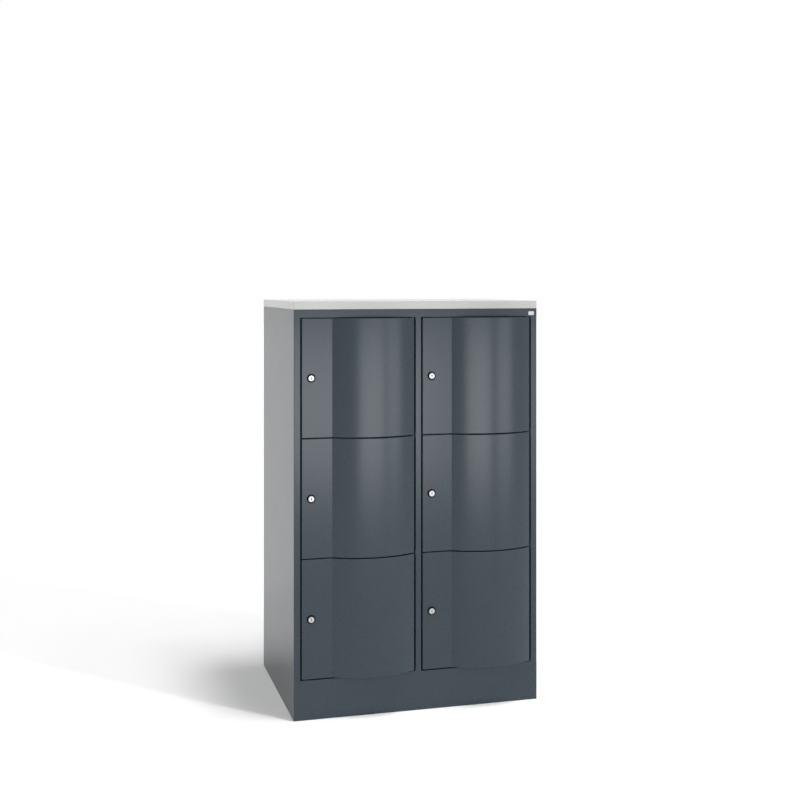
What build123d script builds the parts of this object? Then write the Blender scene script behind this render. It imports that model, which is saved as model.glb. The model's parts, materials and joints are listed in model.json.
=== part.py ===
from build123d import *
import os
from math import sqrt

# Compartment locker of folded sheet steel: two columns of three doors on a plinth, with a top board.
# Millimetres. +Z is up, the doors face -Y, and the origin is on the floor under the middle of the
# whole locker, the bulges of the doors included.

# ---- overall sizes -------------------------------------------------------------------------------
body_width = 832.0
body_depth = 602.0
body_height = 1319.0
board_thickness = 26.0

# ---- front layout --------------------------------------------------------------------------------
plinth_height = 127.0
strip_height = 26.0
outer_post_width = 21.0
centre_post_width = 19.0
side_gap = 5.0                # between a door's side and its post
plinth_gap = 3.5              # under the bottom doors
level_gap = 3.0               # between doors one above the other
strip_gap = 2.5               # over the top doors
columns = ("left", "right")
rows = ("bottom", "middle", "top")

# ---- sheet metal ---------------------------------------------------------------------------------
panel_sheet = 1.0
door_sheet = 1.0
bend_radius = 1.5             # outside radius of a visible fold
edge_round = 0.7              # rounded cut ends of the plinth and the top strip
lip_overlap = 6.0             # how far a stop lip reaches behind a door
rim_height = 25.0             # front rim of a shelf, centred on the gap between two doors
rear_flange = 15.0
plinth_top_flange = 29.0
plinth_foot_flange = 24.0
slip = 0.05                   # clearance round a fixed round piece in its hole

# ---- doors ---------------------------------------------------------------------------------------
door_flat = 100.0             # flat strip beside the lock
door_bulge = 38.0             # height of the curved part above the flat strip
door_depth = 20.0
liner_flange = 10.0
door_rest_gap = 2.2           # between a closed door's back and the stop lips

# ---- hinges --------------------------------------------------------------------------------------
pivot_inset = 7.0             # from the door's side to the hinge axis
pivot_depth = 4.0             # from the front plane to the hinge axis
pin_radius = 3.0
pin_reach = 8.0               # from the middle of a gap to the pin's end
running_clearance = 0.05
bush_wall = 1.0
bush_collar = 1.0             # how much wider the collar is than the bush, all round
bush_end_play = 0.05
bush_tail = 1.5               # bush length beyond the door's flange
bracket_thickness = 1.5       # in a gap between two doors
bracket_overhang = 5.0        # plate beyond the hinge axis
bracket_front = 0.8
bracket_depth = 14.0
bracket_tab = 1.5             # thickness of the tab that is welded to the post
bracket_tab_height = 10.0     # from the middle of the gap
bracket_round = 3.0

# ---- locks ---------------------------------------------------------------------------------------
lock_inset = 30.5             # from the door's free side to the lock's axis
barrel_radius = 9.0
plug_radius = 6.5
rosette_width = 5.0
rosette_height = 2.5
head_step = 0.6               # head wider than the barrel, all round
head_height = 3.5
head_chamfer = 0.8
rosette_chamfer = 1.2
plug_recess = 0.3
nut_thickness = 2.6
nut_wall = 3.0
keyway_width = 2.6
keyway_height = 8.6
keyway_depth = 12.0
keyway_eye_radius = 1.6
cam_clearance = 0.3
cam_thickness = 2.5
cam_length = 30.0             # from the lock's axis to the cam's tip
cam_width = 14.0
cam_tip_width = 10.0
tail_side = 7.0               # square end of the plug
cam_screw_radius = 2.0
cam_screw_head_radius = 4.5
cam_screw_head = 2.4
cam_screw_depth = 9.0

# ---- small parts ---------------------------------------------------------------------------------
buffer_radius = 2.4
buffer_height = 2.0
buffer_inset = 3.2            # from the door's free side
buffer_offset = 120.0         # above and below the lock
badge_width = 20.0
badge_height = 13.0
badge_thickness = 0.8
badge_corner = 3.0
badge_from_side = 20.0
badge_below_top = 16.0
board_round = 1.0
board_screw_radius = 2.0
board_screw_head_radius = 4.0
board_screw_head = 2.5
board_screw_depth = 16.0
board_screw_inset_x = 165.0
board_screw_inset_y = 100.0
wall_hole_radius = 4.5
wall_hole_spacing = 600.0
wall_hole_below_top = 120.0

# ---- levelling feet ------------------------------------------------------------------------------
foot_inset_x = 32.0           # from the plinth's end to the foot's axis
foot_inset_y = 46.0           # from the plinth's face to the foot's axis
foot_pad_radius = 18.0
foot_pad_height = 6.0
foot_collar_radius = 10.0
foot_collar_height = 8.0
foot_stem_radius = 5.0
foot_stem_top = 90.0
foot_plate_thickness = 2.0
foot_plate_height = 30.0
foot_plate_margin = 17.0      # plate beyond the foot's axis
foot_tab_height = 30.0

# ---- places worked out from the sizes above ------------------------------------------------------
front = -(body_depth + door_bulge) / 2 + door_bulge    # Y of the frame's front plane
rear = front + body_depth
right_side = body_width / 2
lip_front = front + door_depth + door_rest_gap
lip_back = lip_front + panel_sheet
lip_width = side_gap + lip_overlap
back_panel_y = rear - 2 * panel_sheet                  # inner face of the back panel
strip_z = body_height - strip_height
half_centre = centre_post_width / 2
door_width = right_side - outer_post_width - half_centre - 2 * side_gap
door_levels = strip_z - strip_gap - plinth_height - plinth_gap
door_height = (door_levels + level_gap) / len(rows) - level_gap
door_back = front + door_depth
bush_radius = pin_radius + running_clearance + bush_wall
bush_collar_height = (level_gap - bracket_thickness) / 2 - bush_end_play
cam_front = lip_back + cam_clearance
cam_back = cam_front + cam_thickness


def block(x0, x1, y0, y1, z0, z1):
    """A block between two opposite corners."""
    corner = (Align.MIN, Align.MIN, Align.MIN)
    return Pos(x0, y0, z0) * Box(x1 - x0, y1 - y0, z1 - z0, align=corner)


def post(x, y, z0, z1, radius):
    """An upright round bar from z0 to z1."""
    return Pos(x, y, z0) * Cylinder(radius, z1 - z0, align=(Align.CENTER, Align.CENTER, Align.MIN))


def rod(x, z, y0, y1, radius):
    """A round bar along Y from y0 back to y1."""
    turn = Rot(-90, 0, 0)
    return Pos(x, y0, z) * turn * Cylinder(radius, y1 - y0, align=(Align.CENTER, Align.CENTER, Align.MIN))


def save(name, shapes):
    """Write one node; a list of shapes becomes a group of separate solids."""
    group = []
    for shape in shapes if isinstance(shapes, list) else [shapes]:
        group.extend(shape.solids())
    solid = group[0] if len(group) == 1 else Compound(children=group)
    export_step(solid, f"parts/{name}.step")


def mirrored(shape):
    """The same piece on the other side of the locker's middle plane."""
    return mirror(shape, about=Plane.YZ)


def door_left(column):
    """X of a door's free side; every door is hinged on its right."""
    if columns[column] == "left":
        return -right_side + outer_post_width + side_gap
    return half_centre + side_gap


def gap_height(level):
    """Height of a horizontal gap; level 0 is the gap above the plinth."""
    if level == 0:
        return plinth_gap
    return strip_gap if level == len(rows) else level_gap


def gap_bottom(level):
    if level == 0:
        return plinth_height
    return plinth_height + plinth_gap + level * (door_height + level_gap) - level_gap


def gap_middle(level):
    return gap_bottom(level) + gap_height(level) / 2


def door_bottom(row):
    return gap_bottom(row) + gap_height(row)


# ---- body ----------------------------------------------------------------------------------------
def side_panel():
    """Left side: one folded sheet with the front post, its stop lip and the rear flange."""
    outer = -right_side
    inner = outer + outer_post_width
    sheet = block(outer, outer + panel_sheet, front + panel_sheet, rear, 0, body_height)
    face = block(outer, inner, front, front + panel_sheet, plinth_height, strip_z)
    return_fold = block(inner - panel_sheet, inner, front, lip_back, plinth_height, strip_z)
    lip = block(inner - panel_sheet, inner + lip_width, lip_front, lip_back, plinth_height, strip_z)
    flange = block(outer, outer + rear_flange, rear - panel_sheet, rear, 0, body_height)
    panel = sheet + face + return_fold + lip + flange
    upright = panel.edges().filter_by(Axis.Z)
    front_fold = upright.filter_by_position(Axis.Y, front - 0.1, front + 0.1)
    rear_fold = upright.filter_by_position(Axis.Y, rear - 0.1, rear + 0.1)
    rear_fold = rear_fold.filter_by_position(Axis.X, outer - 0.1, outer + 0.1)
    return fillet(front_fold + rear_fold, bend_radius)


def back_panel():
    """Flat rear wall in front of the side panels' flanges, with two holes for wall fixings."""
    half = right_side - panel_sheet
    panel = block(-half, half, back_panel_y, back_panel_y + panel_sheet, 0, body_height)
    z = body_height - wall_hole_below_top
    for x in (-wall_hole_spacing / 2, wall_hole_spacing / 2):
        panel -= rod(x, z, back_panel_y - panel_sheet, rear, wall_hole_radius)
    return panel


def roof_panel():
    """Roof folded down into the front strip, back under it, and down again as the stop lips."""
    half = right_side - panel_sheet
    roof = block(-half, half, front, back_panel_y, body_height - panel_sheet, body_height)
    strip = block(-right_side, right_side, front, front + panel_sheet, strip_z, body_height)
    strip = fillet(strip.edges().filter_by(Axis.Z).group_by(Axis.Y)[0], edge_round)
    fold = block(-half, half, front, lip_back, strip_z, strip_z + panel_sheet)
    panel = roof + strip + fold
    lip_bottom = gap_middle(len(rows)) - rim_height / 2
    for column in range(len(columns)):
        x0 = door_left(column) + lip_overlap
        x1 = door_left(column) + door_width - lip_overlap
        panel += block(x0, x1, lip_front, lip_back, lip_bottom, strip_z + panel_sheet)
    for x, y in board_screw_places():
        panel -= post(x, y, body_height - 2 * panel_sheet, body_height + panel_sheet,
                      board_screw_radius + slip)
    return panel


def tray(x0, x1, z0, z1):
    """A shelf or floor: a sheet with its rims folded down, from the stop lips to the back panel."""
    outer = block(x0, x1, lip_back, back_panel_y, z0, z1)
    t = panel_sheet
    hollow = block(x0 + t, x1 - t, lip_back + t, back_panel_y - t, z0 - t, z1 - t)
    return outer - hollow


def floor_panel():
    half = right_side - panel_sheet
    return tray(-half, half, plinth_height, gap_middle(0) + rim_height / 2)


def shelf(column, level):
    z = gap_middle(level)
    inner = panel_sheet / 2
    outer = right_side - panel_sheet
    x0, x1 = (-outer, -inner) if columns[column] == "left" else (inner, outer)
    return tray(x0, x1, z - rim_height / 2, z + rim_height / 2)


def centre_partition():
    """Upright sheet between the columns; its front edge stands inside the centre post."""
    half = panel_sheet / 2
    floor_top = gap_middle(0) + rim_height / 2
    wall = block(-half, half, lip_back, back_panel_y, floor_top, body_height - panel_sheet)
    return wall + block(-half, half, front + panel_sheet, lip_back, plinth_height, strip_z)


def centre_post():
    """Channel with a stop lip on both sides."""
    face = block(-half_centre, half_centre, front, front + panel_sheet, plinth_height, strip_z)
    left_wall = block(-half_centre, -half_centre + panel_sheet, front, lip_back, plinth_height, strip_z)
    left_lip = block(-half_centre - lip_width, -half_centre + panel_sheet, lip_front, lip_back,
                     plinth_height, strip_z)
    channel = face + left_wall + left_lip + mirrored(left_wall) + mirrored(left_lip)
    folds = channel.edges().filter_by(Axis.Z).group_by(Axis.Y)[0]
    return fillet(folds, bend_radius)


def plinth_front():
    """Full-width front of the plinth with top and bottom flanges and a return at each end."""
    half = right_side - panel_sheet
    t = panel_sheet
    face = block(-right_side, right_side, front, front + t, 0, plinth_height)
    face = fillet(face.edges().filter_by(Axis.Z).group_by(Axis.Y)[0], edge_round)
    top = block(-half, half, front, front + t + plinth_top_flange, plinth_height - t, plinth_height)
    foot = block(-half, half, front, front + t + plinth_foot_flange, 0, t)
    end = block(-half, -half + t, front, front + t + plinth_foot_flange, 0, plinth_height)
    return face + top + foot + end + mirrored(end)


def plinth_rear():
    """Channel that closes the plinth against the back panel."""
    half = right_side - panel_sheet
    t = panel_sheet
    face = block(-half, half, back_panel_y - t, back_panel_y, 0, plinth_height)
    y0 = back_panel_y - t - plinth_foot_flange
    top = block(-half, half, y0, back_panel_y, plinth_height - t, plinth_height)
    foot = block(-half, half, y0, back_panel_y, 0, t)
    return face + top + foot


# ---- top board, badge and small fixings ----------------------------------------------------------
def board_screw_places():
    x = right_side - board_screw_inset_x
    y_front = front + board_screw_inset_y
    y_back = rear - board_screw_inset_y
    return [(-x, y_front), (x, y_front), (-x, y_back), (x, y_back)]


def top_board():
    """Board on the roof, flush with the body all round."""
    board = block(-right_side, right_side, front, rear, body_height, body_height + board_thickness)
    board = fillet(board.edges(), board_round)
    for x, y in board_screw_places():
        board -= post(x, y, body_height - slip, body_height + board_screw_depth + slip,
                      board_screw_radius + slip)
    return board


def board_screws():
    """Screws up through the roof into the board, heads in the top compartments."""
    under_roof = body_height - panel_sheet
    screws = []
    for x, y in board_screw_places():
        head = post(x, y, under_roof - board_screw_head, under_roof, board_screw_head_radius)
        screws.append(head + post(x, y, under_roof, body_height + board_screw_depth, board_screw_radius))
    return screws


def badge():
    """Small blank plate at the right end of the top strip."""
    x = right_side - badge_from_side
    z = body_height - badge_below_top
    plate = Pos(x, front, z) * Box(badge_width, badge_thickness, badge_height,
                                   align=(Align.CENTER, Align.MAX, Align.CENTER))
    return fillet(plate.edges().filter_by(Axis.Y), badge_corner)


def door_buffers():
    """Two small buffers on the stop lip beside each lock."""
    discs = []
    for column in range(len(columns)):
        x = door_left(column) + buffer_inset
        for row in range(len(rows)):
            z = lock_height(row)
            for offset in (-buffer_offset, buffer_offset):
                discs.append(rod(x, z + offset, lip_front - buffer_height, lip_front, buffer_radius))
    return discs


# ---- hinges --------------------------------------------------------------------------------------
def pivot_x(column):
    return door_left(column) + door_width - pivot_inset


def bracket_span(level):
    """Z of the underside and top of a hinge bracket's plate in one gap."""
    z0 = gap_bottom(level)
    z1 = z0 + gap_height(level)
    collar = bush_collar_height + bush_end_play
    if level > 0:
        z0 += collar
    if level < len(rows):
        z1 -= collar
    return z0, z1


def hinge_bracket(column, level):
    """Plate in the gap between two doors with a tab on the post's fold, bored for the pin."""
    x = pivot_x(column)
    y = front + pivot_depth
    post_side = x + pivot_inset + side_gap
    z0, z1 = bracket_span(level)
    plate = block(x - bracket_overhang, post_side, front + bracket_front,
                  front + bracket_front + bracket_depth, z0, z1)
    corners = plate.edges().filter_by(Axis.Z).group_by(Axis.X)[0]
    plate = fillet(corners, bracket_round)
    tab_z0 = z0 if level == 0 else gap_middle(level) - bracket_tab_height
    tab_z1 = z1 if level == len(rows) else gap_middle(level) + bracket_tab_height
    tab = block(post_side - bracket_tab, post_side, front + bracket_front,
                front + bracket_front + bracket_depth, tab_z0, tab_z1)
    return plate + tab - post(x, y, z0 - slip, z1 + slip, pin_radius + slip)


def hinge_pin(column, level):
    z0, z1 = bracket_span(level)
    middle = gap_middle(level)
    low = z0 if level == 0 else middle - pin_reach
    high = z1 if level == len(rows) else middle + pin_reach
    return post(pivot_x(column), front + pivot_depth, low, high, pin_radius)


def at_every_pivot(piece):
    """One piece at each hinge point of both columns."""
    return [piece(column, level) for column in range(len(columns)) for level in range(len(rows) + 1)]


# ---- doors ---------------------------------------------------------------------------------------
def bulge_arc(column):
    """Centre and radius of the outer face of a door's curved part, in plan."""
    half_chord = (door_width - door_flat) / 2
    radius = (half_chord ** 2 + door_bulge ** 2) / (2 * door_bulge)
    x = door_left(column) + door_flat + half_chord
    return x, front - door_bulge + radius, radius


def door_plan(column, inset, back):
    """Plan of a door, drawn inset from the outer faces and closed at the back."""
    x0 = door_left(column) + inset
    x1 = door_left(column) + door_width - inset
    arc_x, arc_y, radius = bulge_arc(column)
    radius -= inset
    flat_y = front + inset
    crease_x = arc_x - sqrt(radius ** 2 - (arc_y - flat_y) ** 2)
    end_y = arc_y - sqrt(radius ** 2 - (x1 - arc_x) ** 2)
    outline = [
        Line((x0, back), (x0, flat_y)),
        Line((x0, flat_y), (crease_x, flat_y)),
        ThreePointArc((crease_x, flat_y), (arc_x, arc_y - radius), (x1, end_y)),
        Line((x1, end_y), (x1, back)),
        Line((x1, back), (x0, back)),
    ]
    return make_face(outline)


def lock_height(row):
    return door_bottom(row) + door_height / 2


def lock_x(column):
    return door_left(column) + lock_inset


def door_skin(column, row):
    """Outer pan: flat beside the lock, curved to the hinge side, folded back on all four sides."""
    z0 = door_bottom(row)
    z1 = z0 + door_height
    outer = Pos(0, 0, z0) * extrude(door_plan(column, 0, door_back), door_height)
    folds = [e for e in outer.edges() if is_front_fold(e, column)]
    outer = fillet(folds, bend_radius)
    cavity = extrude(door_plan(column, door_sheet, door_back + door_sheet), door_height - 2 * door_sheet)
    skin = outer - Pos(0, 0, z0 + door_sheet) * cavity
    skin -= rod(lock_x(column), lock_height(row), front - door_sheet, front + 2 * door_sheet,
                barrel_radius + slip)
    hinge = post(pivot_x(column), front + pivot_depth, z0 - door_sheet, z1 + door_sheet,
                 bush_radius + slip)
    return skin - hinge


def is_front_fold(edge, column):
    """True for the edges round a door's front face, and false for the crease."""
    box = edge.bounding_box()
    reaches_back = box.max.Y > door_back - door_sheet
    upright = box.size.Z > door_sheet
    at_side = min(abs(box.min.X - door_left(column)),
                  abs(box.min.X - door_left(column) - door_width)) < door_sheet / 2
    return not reaches_back and (at_side or not upright)


def door_liner(column, row):
    """Inner tray that closes the back of the door."""
    t = door_sheet
    x0 = door_left(column) + t
    x1 = door_left(column) + door_width - t
    z0 = door_bottom(row) + t
    z1 = z0 + door_height - 2 * t
    pan = block(x0, x1, door_back - liner_flange, door_back, z0, z1)
    pan -= block(x0 + t, x1 - t, door_back - liner_flange - t, door_back - t, z0 + t, z1 - t)
    return pan - rod(lock_x(column), lock_height(row), door_back - 2 * t, door_back + t,
                     barrel_radius + slip)


def hinge_bushes(column, row):
    """Collared bushes in the door's top and bottom folds."""
    x = pivot_x(column)
    y = front + pivot_depth
    bottom = door_bottom(row)
    top = bottom + door_height
    collar_radius = bush_radius + bush_collar
    inside = door_sheet + bush_tail
    bore = post(x, y, bottom - level_gap, top + level_gap, pin_radius + running_clearance)
    low = post(x, y, bottom - bush_collar_height, bottom, collar_radius)
    low += post(x, y, bottom, bottom + inside, bush_radius)
    high = post(x, y, top, top + bush_collar_height, collar_radius)
    high += post(x, y, top - inside, top, bush_radius)
    return [low - bore, high - bore]


# ---- locks ---------------------------------------------------------------------------------------
def rosette_front():
    return front - rosette_height


def lock_case(column, row):
    """Round housing through the door with the rosette under its head and the nut behind the liner."""
    x = lock_x(column)
    z = lock_height(row)
    face = rosette_front() - head_height
    head = rod(x, z, face, rosette_front(), barrel_radius + head_step)
    head = chamfer(head.edges().group_by(Axis.Y)[0], head_chamfer)
    housing = head + rod(x, z, rosette_front(), cam_front - cam_clearance, barrel_radius)
    housing -= rod(x, z, face, cam_front, plug_radius + running_clearance)
    hole = rod(x, z, rosette_front() - slip, cam_front, barrel_radius + slip)
    rosette = rod(x, z, rosette_front(), front, barrel_radius + rosette_width)
    rosette = chamfer(rosette.edges().group_by(Axis.Y)[0], rosette_chamfer) - hole
    hexagon = RegularPolygon(barrel_radius + nut_wall, 6, major_radius=False)
    nut = Pos(x, door_back, z) * Rot(-90, 0, 0) * extrude(hexagon, nut_thickness) - hole
    return [housing, rosette, nut]


def lock_plug(column, row):
    """Turning plug with the keyway in its face and a square end for the cam."""
    x = lock_x(column)
    z = lock_height(row)
    face = rosette_front() - head_height + plug_recess
    plug = rod(x, z, face, cam_front, plug_radius)
    half = tail_side / 2
    plug += block(x - half, x + half, cam_front, cam_back, z - half, z + half)
    slot = block(x - keyway_width / 2, x + keyway_width / 2, face, face + keyway_depth,
                 z - keyway_height / 2, z + keyway_height / 2)
    eye = rod(x, z, face, face + keyway_depth, keyway_eye_radius)
    thread = rod(x, z, cam_back - cam_screw_depth - slip, cam_back, cam_screw_radius + slip)
    return plug - slot - eye - thread


def lock_cam(column, row):
    """Cam on the plug's square end, upright when unlocked, with the screw that holds it."""
    x = lock_x(column)
    z = lock_height(row)
    root = rod(x, z, cam_front, cam_back, cam_width / 2)
    tip_radius = cam_tip_width / 2
    tip = rod(x, z + cam_length - tip_radius, cam_front, cam_back, tip_radius)
    arm = block(x - tip_radius, x + tip_radius, cam_front, cam_back, z, z + cam_length - tip_radius)
    half = tail_side / 2 + slip
    square = block(x - half, x + half, cam_front, cam_back, z - half, z + half)
    head = rod(x, z, cam_back, cam_back + cam_screw_head, cam_screw_head_radius)
    shank = rod(x, z, cam_back - cam_screw_depth, cam_back, cam_screw_radius)
    return [root + arm + tip - square, head + shank]


# ---- levelling feet ------------------------------------------------------------------------------
def foot_places():
    """Name and axis of each levelling foot."""
    x = right_side - 2 * panel_sheet - foot_inset_x
    y_front = front + panel_sheet + foot_inset_y
    y_rear = back_panel_y - panel_sheet - foot_inset_y
    return {"front_left": (-x, y_front), "front_right": (x, y_front),
            "rear_left": (-x, y_rear), "rear_right": (x, y_rear)}


def foot_bracket(x, y):
    """Angle plate across a corner of the plinth, welded to its face and bored for the foot."""
    end = right_side - 2 * panel_sheet
    x0, x1 = (-end, x + foot_plate_margin) if x < 0 else (x - foot_plate_margin, end)
    t = foot_plate_thickness
    z0 = foot_plate_height
    if y < 0:
        wall = front + panel_sheet
        plate = block(x0, x1, wall, y + foot_plate_margin, z0, z0 + t)
        tab = block(x0, x1, wall, wall + t, z0, z0 + foot_tab_height)
    else:
        wall = back_panel_y - panel_sheet
        plate = block(x0, x1, y - foot_plate_margin, wall, z0, z0 + t)
        tab = block(x0, x1, wall - t, wall, z0, z0 + foot_tab_height)
    return plate + tab - post(x, y, z0 - t, z0 + 2 * t, foot_stem_radius + running_clearance)


def levelling_foot(x, y):
    """Foot with a wide pad, a collar and a stem, screwed fully in so that the pad is at floor level."""
    pad = post(x, y, 0, foot_pad_height, foot_pad_radius)
    pad = chamfer(pad.edges().group_by(Axis.Z)[-1], foot_pad_height / 2)
    collar = post(x, y, foot_pad_height, foot_pad_height + foot_collar_height, foot_collar_radius)
    return pad + collar + post(x, y, foot_pad_height, foot_stem_top, foot_stem_radius)


# ---- all pieces ----------------------------------------------------------------------------------
def save_body():
    left_side = side_panel()
    save("side_panel_left", left_side)
    save("side_panel_right", mirrored(left_side))
    save("back_panel", back_panel())
    save("roof_panel", roof_panel())
    save("floor_panel", floor_panel())
    save("centre_partition", centre_partition())
    save("centre_post", centre_post())
    save("plinth_front", plinth_front())
    save("plinth_rear", plinth_rear())
    for column, column_name in enumerate(columns):
        for level in range(1, len(rows)):
            position = "lower" if level == 1 else "upper"
            save(f"shelf_{column_name}_{position}", shelf(column, level))
    save("top_board", top_board())
    save("board_screws", board_screws())
    save("badge", badge())
    save("door_buffers", door_buffers())
    save("hinge_brackets", at_every_pivot(hinge_bracket))
    save("hinge_pins", at_every_pivot(hinge_pin))


def save_doors():
    for column, column_name in enumerate(columns):
        for row, row_name in enumerate(rows):
            place = f"{column_name}_{row_name}"
            save(f"door_skin_{place}", door_skin(column, row))
            save(f"door_liner_{place}", door_liner(column, row))
            save(f"hinge_bushes_{place}", hinge_bushes(column, row))
            save(f"lock_case_{place}", lock_case(column, row))
            save(f"lock_plug_{place}", lock_plug(column, row))
            save(f"lock_cam_{place}", lock_cam(column, row))


def save_feet():
    places = foot_places()
    save("foot_brackets", [foot_bracket(x, y) for x, y in places.values()])
    for name, (x, y) in places.items():
        save(f"levelling_foot_{name}", levelling_foot(x, y))


os.makedirs("parts", exist_ok=True)
save_body()
save_doors()
save_feet()
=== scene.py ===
import json
import math

import bpy
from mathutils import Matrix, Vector


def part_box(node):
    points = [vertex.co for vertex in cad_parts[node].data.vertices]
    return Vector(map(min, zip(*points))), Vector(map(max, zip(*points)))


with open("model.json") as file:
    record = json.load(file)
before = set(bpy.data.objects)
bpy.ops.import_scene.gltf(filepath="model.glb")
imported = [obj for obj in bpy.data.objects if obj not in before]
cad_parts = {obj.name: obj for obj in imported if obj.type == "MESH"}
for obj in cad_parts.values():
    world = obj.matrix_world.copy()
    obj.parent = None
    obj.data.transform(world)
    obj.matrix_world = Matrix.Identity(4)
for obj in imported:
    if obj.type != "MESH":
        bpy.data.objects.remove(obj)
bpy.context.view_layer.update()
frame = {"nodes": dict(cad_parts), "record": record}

# The parcel locker in a white studio. Its CAD meshes are shown as they are, and every node gets
# a procedural material. Lengths are in metres: X to the right seen from the front, Y to the
# back, Z up. Colours are linear.

# ---------------------------------------------------------------- camera
CAMERA_PLACE = (-1.1342, -4.1300, 1.3959)
CAMERA_TURN = -15.089  # degrees about Z
CAMERA_SENSOR = 36.0  # mm
CAMERA_LENS = 54.847  # mm
CAMERA_SHIFT = (0.0124, -0.1430)  # shares of the sensor's width

# ---------------------------------------------------------------- floor and light
FLOOR_ALBEDO = 0.94
FLOOR_CLOUD = 0.004  # how far the albedo strays up and down
FLOOR_HALF = 40.0  # half of its side

# The world's brightness for each kind of ray. The camera sees it as white, which is 1.
SKY_SEEN = 1.0
SKY_DIFFUSE = 0.18
SKY_REFLECTED_FRONT = 0.50
SKY_REFLECTED_BACK = 1.00
SKY_BLEND = 0.3  # one turns into the other between this much to the front and to the back

# Suns: azimuth from the front towards the right, elevation, brightness each gives a white
# floor, and width in the sky. Angles are in degrees.
SUNS = (
    # beside the camera, filling the front and the side panel
    (-15.0, 20.0, 0.105, 8.0),
    (-15.0, 44.0, 0.110, 10.0),
    (-15.0, 68.0, 0.110, 12.0),
    # low at the front right
    (45.0, 10.0, 0.050, 4.0),
    (45.0, 16.0, 0.060, 4.0),
    (45.0, 26.0, 0.035, 5.0),
    # overhead, leaning to the right
    (48.0, 52.0, 0.030, 8.0),
    (46.0, 68.0, 0.100, 8.0),
    (48.0, 78.0, 0.170, 10.0),
    (78.0, 79.0, 0.250, 12.0),
)

# Soft boxes: centre, width, height, brightness, turn about Z in degrees.
SOFTBOXES = (
    ((0.085, -2.00, 0.842), 1.18, 0.745, 3.05, 0.0),
    ((1.85, -2.55, 0.80), 1.15, 0.90, 2.4, 38.0),
)

# ---------------------------------------------------------------- shaders
# Most of a noise lies between these two values.
NOISE_LOW, NOISE_HIGH = 0.3, 0.7

# Cosines of the turn between a bevelled normal and its face: on an edge, and off it.
EDGE_ON, EDGE_OFF = 0.84, 0.995
BEVEL_SAMPLES = 4

# Sockets of a Mix node that mixes colours, which share their names with its other sockets.
MIX_SHARE, MIX_FIRST, MIX_SECOND, MIX_RESULT = 0, 6, 7, 2


# ---------------------------------------------------------------- camera and lamps
def place_object(name, data, location=(0.0, 0.0, 0.0), rotation=(0.0, 0.0, 0.0)):
    thing = bpy.data.objects.new(name, data)
    thing.location = location
    thing.rotation_euler = rotation
    bpy.context.collection.objects.link(thing)
    return thing


def level(turn):
    """Rotation of a camera or lamp that looks level to the back, then turned about Z."""
    return math.radians(90), 0.0, math.radians(turn)


def make_camera():
    data = bpy.data.cameras.new("photo_camera")
    data.sensor_width = CAMERA_SENSOR
    data.lens = CAMERA_LENS
    data.shift_x, data.shift_y = CAMERA_SHIFT
    bpy.context.scene.camera = place_object(
        "photo_camera", data, CAMERA_PLACE, level(CAMERA_TURN))


def make_suns():
    """The suns light the object and the floor, and don't show in reflections."""
    for azimuth, elevation, brightness, width in SUNS:
        across, up = math.radians(azimuth), math.radians(elevation)
        data = bpy.data.lights.new("key_%d_%d" % (azimuth, elevation), "SUN")
        data.energy = math.pi * brightness / math.sin(up)
        data.angle = math.radians(width)
        shines = Vector((-math.cos(up) * math.sin(across), math.cos(up) * math.cos(across),
                         -math.sin(up)))
        sun = place_object(data.name, data, rotation=shines.to_track_quat("-Z", "Y").to_euler())
        sun.visible_glossy = False


def make_softboxes():
    """Soft boxes that show only in reflections."""
    for number, (centre, width, height, brightness, turn) in enumerate(SOFTBOXES):
        data = bpy.data.lights.new("softbox_%d" % number, "AREA")
        data.shape = "RECTANGLE"
        data.size = width
        data.size_y = height
        data.energy = math.pi * width * height * brightness
        box = place_object(data.name, data, centre, level(turn))
        box.visible_camera = False
        box.visible_diffuse = False


# ---------------------------------------------------------------- node graphs
class Graph:
    """Short calls for making nodes in one node tree."""

    def __init__(self, tree):
        self.tree = tree
        tree.nodes.clear()

    def add(self, kind, inputs=None, **settings):
        node = self.tree.nodes.new(kind)
        for name, value in settings.items():
            setattr(node, name, value)
        self.set(node, inputs or {})
        return node

    def set(self, node, inputs):
        for name, value in inputs.items():
            self.feed(node.inputs[name], value)

    def feed(self, socket, value):
        """Link a socket to a node's output, or give it a constant."""
        if isinstance(value, bpy.types.NodeSocket):
            self.tree.links.new(value, socket)
        else:
            socket.default_value = value

    def math(self, operation, *values):
        node = self.add("ShaderNodeMath", operation=operation)
        for socket, value in zip(node.inputs, values):
            self.feed(socket, value)
        return node.outputs[0]

    def plus(self, first, second):
        return self.math("ADD", first, second)

    def times(self, first, second):
        return self.math("MULTIPLY", first, second)

    def rest_of(self, share):
        return self.math("SUBTRACT", 1.0, share)

    def choose(self, share, other, chosen):
        """other where share is 0, chosen where it is 1."""
        return self.plus(self.times(share, chosen), self.times(self.rest_of(share), other))

    def fit(self, value, low, high, to_low, to_high):
        """value carried from low..high to to_low..to_high, and held inside it."""
        inputs = {"Value": value, "From Min": low, "From Max": high,
                  "To Min": to_low, "To Max": to_high}
        return self.add("ShaderNodeMapRange", inputs, clamp=True).outputs["Result"]

    def spread(self, pattern, to_low, to_high):
        """A noise carried to the range to_low..to_high."""
        return self.fit(pattern, NOISE_LOW, NOISE_HIGH, to_low, to_high)

    def above(self, pattern, start, full, share):
        """0 where the pattern is under start, share where it is over full."""
        return self.fit(pattern, start, full, 0.0, share)

    def below(self, pattern, full, end, share):
        """share where the pattern is under full, 0 where it is over end."""
        return self.fit(pattern, full, end, share, 0.0)

    def mix(self, share, first, second):
        """The colour first where share is 0, second where it is 1."""
        node = self.add("ShaderNodeMix", data_type="RGBA")
        self.feed(node.inputs[MIX_SHARE], share)
        self.feed(node.inputs[MIX_FIRST], first)
        self.feed(node.inputs[MIX_SECOND], second)
        return node.outputs[MIX_RESULT]


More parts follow.
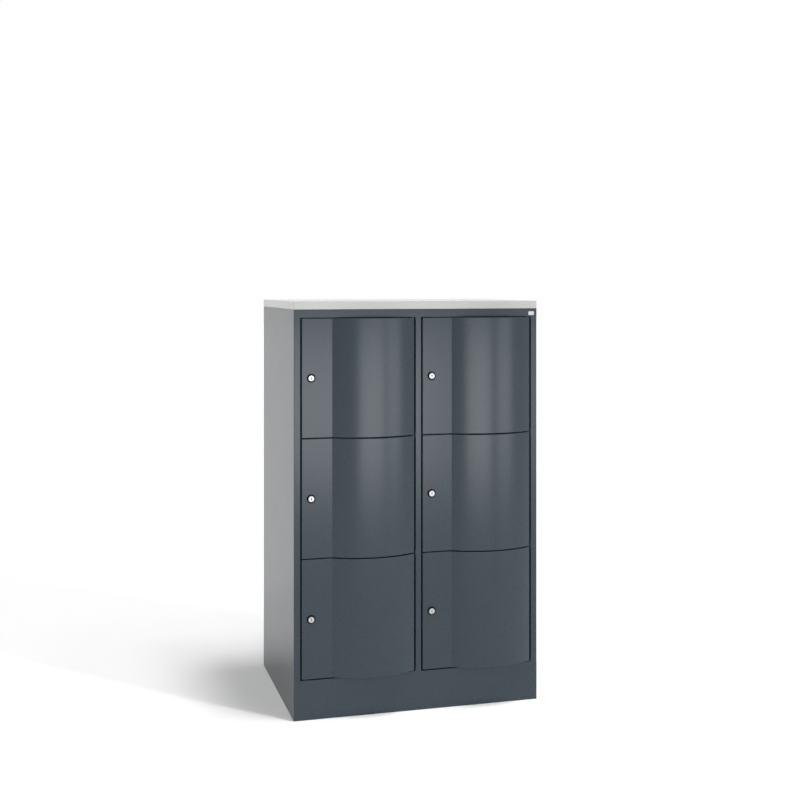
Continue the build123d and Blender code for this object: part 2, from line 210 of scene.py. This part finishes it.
# ---------------------------------------------------------------- world and floor
def make_world():
    """White for the camera, a dim sky for diffuse light, and a brighter one in reflections."""
    world = bpy.data.worlds.new("studio")
    bpy.context.scene.world = world
    world.use_nodes = True
    g = Graph(world.node_tree)
    ray = g.add("ShaderNodeLightPath").outputs
    direction = g.add("ShaderNodeTexCoord").outputs["Generated"]
    backwards = g.add("ShaderNodeSeparateXYZ", {"Vector": direction}).outputs["Y"]
    reflected = g.fit(backwards, -SKY_BLEND, SKY_BLEND, SKY_REFLECTED_FRONT, SKY_REFLECTED_BACK)
    unseen = g.choose(ray["Is Glossy Ray"], SKY_DIFFUSE, reflected)
    strength = g.choose(ray["Is Camera Ray"], unseen, SKY_SEEN)
    background = g.add("ShaderNodeBackground", {"Color": (1.0, 1.0, 1.0, 1.0),
                                                "Strength": strength})
    g.add("ShaderNodeOutputWorld", {"Surface": background.outputs[0]})


def make_floor(material):
    mesh = bpy.data.meshes.new("floor")
    h = FLOOR_HALF
    mesh.from_pydata([(-h, -h, 0), (h, -h, 0), (h, h, 0), (-h, h, 0)], [], [(0, 1, 2, 3)])
    mesh.materials.append(material)
    floor = place_object("floor", mesh)


# ---------------------------------------------------------------- surfaces
def start(name):
    """A new material, its graph, its shader and the place in the frame that is being shaded."""
    material = bpy.data.materials.new(name)
    material.use_nodes = True
    g = Graph(material.node_tree)
    shader = g.add("ShaderNodeBsdfPrincipled")
    g.add("ShaderNodeOutputMaterial", {"Surface": shader.outputs[0]})
    place = g.add("ShaderNodeTexCoord").outputs["Object"]
    return material, g, shader, place


def noise(g, place, grain, detail=2.0, rough=0.5):
    """Noise whose grain is about that many metres."""
    inputs = {"Vector": place, "Scale": 1.0 / grain, "Detail": detail, "Roughness": rough}
    return g.add("ShaderNodeTexNoise", inputs).outputs["Fac"]


def strokes(g, place, per_metre):
    """Noise drawn out into strokes: how many there are in a metre along X, Y and Z."""
    stretched = g.add("ShaderNodeMapping", {"Vector": place, "Scale": per_metre})
    return noise(g, stretched.outputs["Vector"], grain=1.0, detail=3.0, rough=0.6)


def bevel(g, radius):
    """The surface normal, rounded over the edges."""
    return g.add("ShaderNodeBevel", {"Radius": radius}, samples=BEVEL_SAMPLES).outputs["Normal"]


def edge_of(g, rounded):
    """1 on the edges that the rounded normal turns over, 0 on the faces."""
    plain = g.add("ShaderNodeNewGeometry").outputs["Normal"]
    dot = g.add("ShaderNodeVectorMath", operation="DOT_PRODUCT")
    g.feed(dot.inputs[0], rounded)
    g.feed(dot.inputs[1], plain)
    return g.fit(dot.outputs["Value"], EDGE_ON, EDGE_OFF, 1.0, 0.0)


def bump(g, height, depth, normal):
    """The normal, tilted by a height between 0 and 1 that stands for depth metres."""
    inputs = {"Strength": 1.0, "Distance": depth, "Height": height, "Normal": normal}
    return g.add("ShaderNodeBump", inputs).outputs["Normal"]


def colour(r, g, b):
    return (r, g, b, 1.0)


# ---------------------------------------------------------------- paint
PAINT = colour(0.0132, 0.0234, 0.0330), colour(0.0157, 0.0268, 0.0372)
PAINT_ROUGHNESS = 0.266, 0.274
PAINT_IOR = 1.5
PAINT_DEPTH = 0.00003
FLECK = colour(0.040, 0.055, 0.070)
FLECK_ROUGHNESS = -0.02, 0.02  # added to the paint's
FLECK_HEIGHT = 0.15  # share of the orange peel's
# Painted highlight: every edge of the paint is made lighter, as if light caught its bend.
PAINTED_EDGE_HIGHLIGHT, PAINTED_EDGE_HIGHLIGHT_SHARE = colour(0.055, 0.070, 0.085), 0.25
WORN_EDGE, WORN_EDGE_SHARE = colour(0.12, 0.14, 0.16), 0.35
WORN_ROUGHNESS = 0.12  # added to the paint's


def powder_coat():
    """Satin anthracite with orange peel, fine flecks, a painted highlight along the edges and
    broken wear on them.
    """
    material, g, shader, place = start("powder_coat")
    cloud = noise(g, place, grain=0.16, detail=3.0)
    fleck = noise(g, place, grain=0.0016, rough=0.7)
    peel = noise(g, place, grain=0.0024, rough=0.45)
    chips = noise(g, place, grain=0.006, detail=4.0, rough=0.7)
    rounded = bevel(g, radius=0.0016)
    edge = edge_of(g, rounded)
    wear = g.times(edge, g.above(chips, start=0.42, full=0.66, share=1.0))
    flecks = g.above(fleck, start=0.60, full=0.78, share=0.45)
    flecked = g.mix(flecks, g.mix(cloud, *PAINT), FLECK)
    # painted highlight along all edges, under the real wear
    edge_highlighted = g.mix(g.times(edge, PAINTED_EDGE_HIGHLIGHT_SHARE), flecked, PAINTED_EDGE_HIGHLIGHT)
    worn = g.mix(g.times(wear, WORN_EDGE_SHARE), edge_highlighted, WORN_EDGE)
    sheen = g.plus(g.spread(cloud, *PAINT_ROUGHNESS), g.spread(fleck, *FLECK_ROUGHNESS))
    height = g.plus(peel, g.times(fleck, FLECK_HEIGHT))
    g.set(shader, {"Base Color": worn,
                   "Roughness": g.plus(sheen, g.times(wear, WORN_ROUGHNESS)),
                   "IOR": PAINT_IOR,
                   "Normal": bump(g, height, PAINT_DEPTH, rounded)})
    return material


# ---------------------------------------------------------------- board
BOARD = colour(0.340, 0.348, 0.336), colour(0.355, 0.363, 0.351)
BOARD_ROUGHNESS = 0.30, 0.38
BOARD_DEPTH = 0.00002
DARK_SPECK = colour(0.30, 0.31, 0.30)
LIGHT_SPECK = colour(0.50, 0.51, 0.50)
# Painted highlight: the board's edges are made lighter.
BOARD_EDGE_HIGHLIGHT, BOARD_EDGE_HIGHLIGHT_SHARE = colour(0.44, 0.45, 0.44), 0.10
TOP_LAYER, TOP_LAYER_ROUGHNESS = 0.85, 0.25


def laminate():
    """Light grey with dark and light specks and a painted highlight on its edges, under a clear
    top layer.
    """
    material, g, shader, place = start("laminate")
    cloud = noise(g, place, grain=0.09, detail=3.0)
    speck = noise(g, place, grain=0.0011, rough=0.6)
    rounded = bevel(g, radius=0.0006)
    dark = g.above(speck, start=0.56, full=0.74, share=0.35)
    light = g.below(speck, full=0.26, end=0.42, share=0.30)
    specked = g.mix(light, g.mix(dark, g.mix(cloud, *BOARD), DARK_SPECK), LIGHT_SPECK)
    # share of the painted edge highlight
    edge = g.times(edge_of(g, rounded), BOARD_EDGE_HIGHLIGHT_SHARE)
    g.set(shader, {"Base Color": g.mix(edge, specked, BOARD_EDGE_HIGHLIGHT),
                   "Roughness": g.spread(speck, *BOARD_ROUGHNESS),
                   "Coat Weight": TOP_LAYER, "Coat Roughness": TOP_LAYER_ROUGHNESS,
                   "Normal": bump(g, speck, BOARD_DEPTH, rounded)})
    return material


# ---------------------------------------------------------------- locks
PLATED = colour(0.52, 0.53, 0.545), colour(0.58, 0.59, 0.605)
PLATED_ROUGHNESS = 0.36, 0.42
MARKS = (900.0, 900.0, 120.0)
PLUG_DEPTH = 0.000004
ROSETTE = colour(0.0030, 0.0042, 0.0060), colour(0.0050, 0.0065, 0.0085)
BARREL = colour(0.50, 0.51, 0.52), colour(0.62, 0.62, 0.61)
BODY_ROUGHNESS = 0.50, 0.62
BODY_SPECULAR = 0.05
BODY_DEPTH = 0.000006
LOCK_BEVEL = 0.0003
ROSETTE_HEIGHT = 0.0025  # from the door to the back of the lock's head
LOCK_MARGIN = 0.0001  # keeps a change of material off the faces that lie at its depth


def chrome_face(g, place):
    """Colour, roughness and height of a satin plated face with fine handling marks."""
    marks = strokes(g, place, MARKS)
    blot = noise(g, place, grain=0.004, detail=3.0)
    marked = g.above(marks, start=0.58, full=0.75, share=0.10)
    return g.mix(blot, *PLATED), g.plus(g.spread(blot, *PLATED_ROUGHNESS), marked), marks


def lock_chrome():
    """The key plugs, plated as the heads of the lock bodies are."""
    material, g, shader, place = start("lock_chrome")
    tone, rough, marks = chrome_face(g, place)
    rounded = bevel(g, LOCK_BEVEL)
    g.set(shader, {"Base Color": tone, "Roughness": rough, "Metallic": 1.0,
                   "Normal": bump(g, marks, PLUG_DEPTH, rounded)})
    return material


def lock_body(head_back, skin_front):
    """The lock body: plated head, black rosette behind it, and zinc barrel and nut inside.
    The three are told apart by how deep they lie."""
    material, g, shader, place = start("lock_body")
    tone, rough, marks = chrome_face(g, place)
    depth = g.add("ShaderNodeSeparateXYZ", {"Vector": place}).outputs["Y"]
    behind_head = g.math("GREATER_THAN", depth, head_back)
    inside = g.math("GREATER_THAN", depth, skin_front)
    grain = noise(g, place, grain=0.0012, detail=3.0, rough=0.6)
    rest = g.mix(inside, g.mix(grain, *ROSETTE), g.mix(grain, *BARREL))
    height = g.plus(marks, g.times(grain, behind_head))
    rounded = bevel(g, LOCK_BEVEL)
    g.set(shader, {"Base Color": g.mix(behind_head, tone, rest),
                   "Metallic": g.math("MAXIMUM", g.rest_of(behind_head), inside),
                   "Roughness": g.choose(behind_head, rough, g.spread(grain, *BODY_ROUGHNESS)),
                   "Specular IOR Level": BODY_SPECULAR,
                   "Normal": bump(g, height, BODY_DEPTH, rounded)})
    return material


# ---------------------------------------------------------------- zinc and badge
ZINC = colour(0.52, 0.53, 0.55), colour(0.60, 0.60, 0.57)
ZINC_ROUGHNESS = 0.28, 0.42
ZINC_BRUSHED = (60.0, 900.0, 900.0)
ZINC_DEPTH = 0.000008
SPANGLE = colour(0.66, 0.67, 0.68)
SPANGLE_SIZE = 0.004
BADGE = colour(0.42, 0.43, 0.44), colour(0.52, 0.53, 0.54)
BADGE_ROUGHNESS = 0.24, 0.36
BADGE_BRUSHED = (90.0, 900.0, 2600.0)
BADGE_DEPTH = 0.000010
BADGE_EDGE_ROUGHNESS = 0.08  # added to the face's


def zinc_plate():
    """Zinc with a faint spangle, brushed along X."""
    material, g, shader, place = start("zinc_plate")
    cells = g.add("ShaderNodeTexVoronoi", {"Vector": place, "Scale": 1.0 / SPANGLE_SIZE})
    spangle = g.above(cells.outputs["Distance"], start=0.2, full=0.8, share=0.3)
    cloud = noise(g, place, grain=0.03, detail=3.0)
    brushed = strokes(g, place, ZINC_BRUSHED)
    rounded = bevel(g, radius=0.0004)
    g.set(shader, {"Base Color": g.mix(spangle, g.mix(cloud, *ZINC), SPANGLE),
                   "Roughness": g.spread(brushed, *ZINC_ROUGHNESS), "Metallic": 1.0,
                   "Normal": bump(g, brushed, ZINC_DEPTH, rounded)})
    return material


def badge_metal():
    """The blank plate on the strip, brushed along X and duller on its edges."""
    material, g, shader, place = start("badge_metal")
    brushed = strokes(g, place, BADGE_BRUSHED)
    rounded = bevel(g, radius=0.0005)
    dulled = g.times(edge_of(g, rounded), BADGE_EDGE_ROUGHNESS)
    g.set(shader, {"Base Color": g.mix(brushed, *BADGE),
                   "Roughness": g.plus(g.spread(brushed, *BADGE_ROUGHNESS), dulled),
                   "Metallic": 1.0,
                   "Normal": bump(g, brushed, BADGE_DEPTH, rounded)})
    return material


# ---------------------------------------------------------------- plastic, rubber and primer
# Dark and light colour, roughness from and to, size of the grain and its depth.
MOULDED = {
    "black_steel": ((0.006, 0.006, 0.007), (0.011, 0.011, 0.012), 0.40, 0.52, 0.0009, 0.00001),
    "bush_nylon": ((0.012, 0.012, 0.013), (0.020, 0.020, 0.021), 0.42, 0.55, 0.0010, 0.000015),
    "buffer_rubber": ((0.010, 0.010, 0.010), (0.018, 0.018, 0.018), 0.70, 0.85, 0.0012, 0.00003),
    "foot_plastic": ((0.014, 0.014, 0.015), (0.022, 0.022, 0.023), 0.45, 0.60, 0.0012, 0.00002),
}
# Painted highlight: the edges are made lighter.
MOULDED_EDGE_HIGHLIGHT = 3  # how many times lighter than the light colour the edges are
MOULDED_EDGE_HIGHLIGHT_SHARE = 0.3


def moulded(name):
    """Moulded plastic or rubber, or black primer on steel, with a fine grain and a painted
    highlight on the edges.
    """
    dark, light, low, high, grain_size, depth = MOULDED[name]
    material, g, shader, place = start(name)
    grain = noise(g, place, grain_size, detail=3.0, rough=0.6)
    cloud = noise(g, place, grain=0.02)
    rounded = bevel(g, radius=0.0005)
    # share and colour of the painted edge highlight
    edge = g.times(edge_of(g, rounded), MOULDED_EDGE_HIGHLIGHT_SHARE)
    edge_highlight_colour = colour(*(MOULDED_EDGE_HIGHLIGHT * c for c in light))
    base = g.mix(cloud, colour(*dark), colour(*light))
    g.set(shader, {"Base Color": g.mix(edge, base, edge_highlight_colour),
                   "Roughness": g.spread(grain, low, high),
                   "Normal": bump(g, grain, depth, rounded)})
    return material


# ---------------------------------------------------------------- floor
def floor_white():
    """Matt white with a hardly visible cloud."""
    material, g, shader, place = start("floor_white")
    cloud = noise(g, place, grain=0.5)
    low, high = FLOOR_ALBEDO - FLOOR_CLOUD, FLOOR_ALBEDO + FLOOR_CLOUD
    g.set(shader, {"Base Color": g.mix(cloud, colour(low, low, low), colour(high, high, high)),
                   "Roughness": 1.0, "Specular IOR Level": 0.0})
    return material


# ---------------------------------------------------------------- the scene
def paint_nodes():
    """Give every CAD node the material of its slot in the record."""
    low_corner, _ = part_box("centre_post")
    front = low_corner[1]
    by_slot = {
        "body_paint": powder_coat(),
        "board_laminate": laminate(),
        "lock_chrome": lock_chrome(),
        "zinc_steel": zinc_plate(),
        "badge_plate": badge_metal(),
        **{name: moulded(name) for name in MOULDED},
    }
    lock_case = lock_body(front - ROSETTE_HEIGHT - LOCK_MARGIN, front + LOCK_MARGIN)
    for part in frame["record"]["subparts"]:
        name = part["node"]
        in_case = name.startswith("lock_case")
        for slot in frame["nodes"][name].material_slots:
            slot.material = lock_case if in_case else by_slot[part["material_slot"]]


make_camera()
make_world()
make_suns()
make_softboxes()
make_floor(floor_white())
paint_nodes()

view = bpy.context.scene.view_settings
view.view_transform = "Standard"
view.look = "None"
